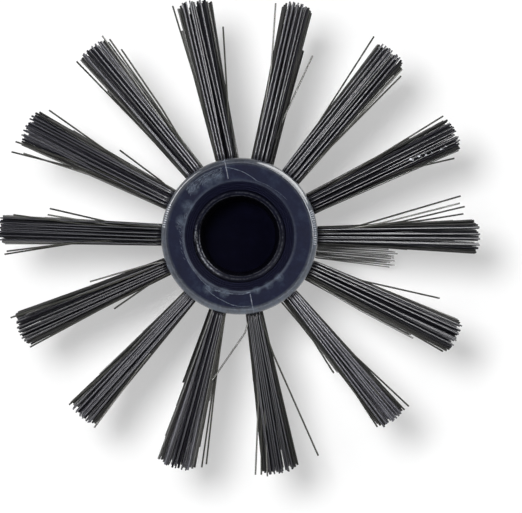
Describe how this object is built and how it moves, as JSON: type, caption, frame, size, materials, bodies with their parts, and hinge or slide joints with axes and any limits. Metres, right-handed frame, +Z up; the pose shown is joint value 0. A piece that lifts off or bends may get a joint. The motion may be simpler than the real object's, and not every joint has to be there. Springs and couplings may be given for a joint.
{
  "type": "valve brush",
  "caption": "Round valve brush head: a dark moulded block with stapled bristle tufts all round it in straight columns, and a blind screw socket for a handle in one end.",
  "frame": {"origin": "centre of the block's flat foot", "axes": "+Z up the block's axis and out of the handle socket; +X through the first column of tufts"},
  "size_m": [0.12, 0.1187, 0.12],
  "materials": {
    "block": "moulded polypropylene, near black with a blue cast, hazed and scuffed on the mouth face",
    "bristle": "drawn synthetic monofilament, dark grey with a soft shine",
    "staple": "flat drawn wire"
  },
  "bodies": {
    "root": {"brush_block": "block", "tuft_column_01": "bristle", "tuft_column_02": "bristle", "tuft_column_03": "bristle", "tuft_column_04": "bristle", "tuft_column_05": "bristle", "tuft_column_06": "bristle", "tuft_column_07": "bristle", "tuft_column_08": "bristle", "tuft_column_09": "bristle", "tuft_column_10": "bristle", "tuft_column_11": "bristle", "tuft_column_12": "bristle", "tuft_column_13": "bristle", "tuft_column_14": "bristle", "staple_column_01": "staple", "staple_column_02": "staple", "staple_column_03": "staple", "staple_column_04": "staple", "staple_column_05": "staple", "staple_column_06": "staple", "staple_column_07": "staple", "staple_column_08": "staple", "staple_column_09": "staple", "staple_column_10": "staple", "staple_column_11": "staple", "staple_column_12": "staple", "staple_column_13": "staple", "staple_column_14": "staple"}
  },
  "joints": []
}
